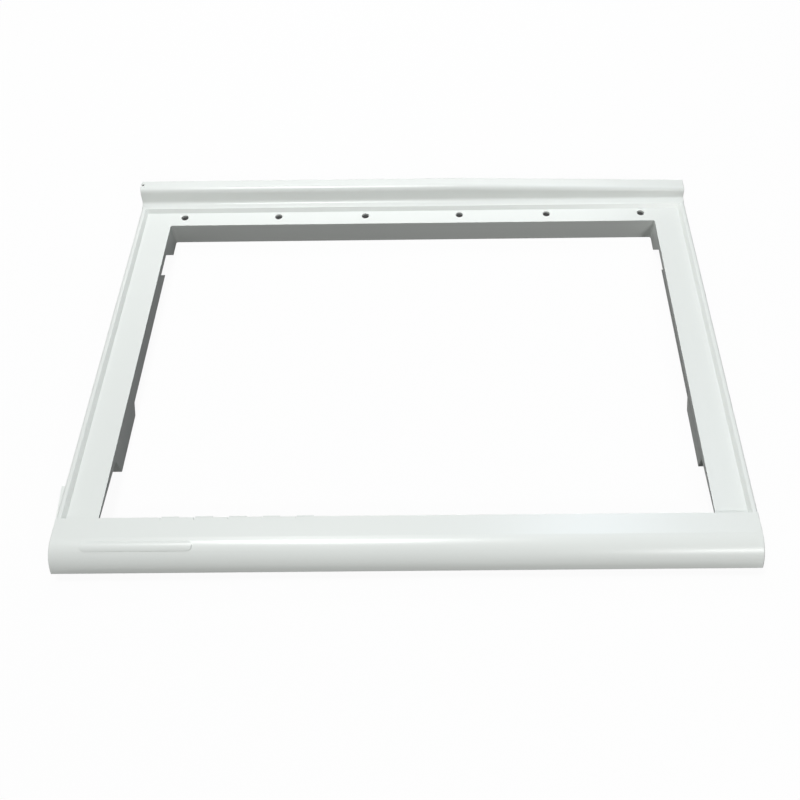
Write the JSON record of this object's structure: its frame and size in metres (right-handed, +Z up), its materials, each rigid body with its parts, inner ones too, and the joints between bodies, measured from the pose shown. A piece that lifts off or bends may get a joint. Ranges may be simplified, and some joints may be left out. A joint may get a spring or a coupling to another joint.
{
  "type": "crisper cover frame",
  "caption": "White moulded frame that carries a glass pane over a refrigerator crisper drawer, with a rolled front rail, a raised rear rail and drawer guides below the sides.",
  "frame": {"origin": "under the middle of the frame, on the level of the lowest skirts", "axes": "+X to the right along the rails, +Y from the front rail to the rear rail, +Z up"},
  "size_m": [0.6118, 0.4618, 0.0454],
  "materials": {
    "white_plastic": "injection-moulded white polystyrene with a soft gloss"
  },
  "bodies": {
    "root": {"cover_frame": "white_plastic"}
  },
  "joints": []
}
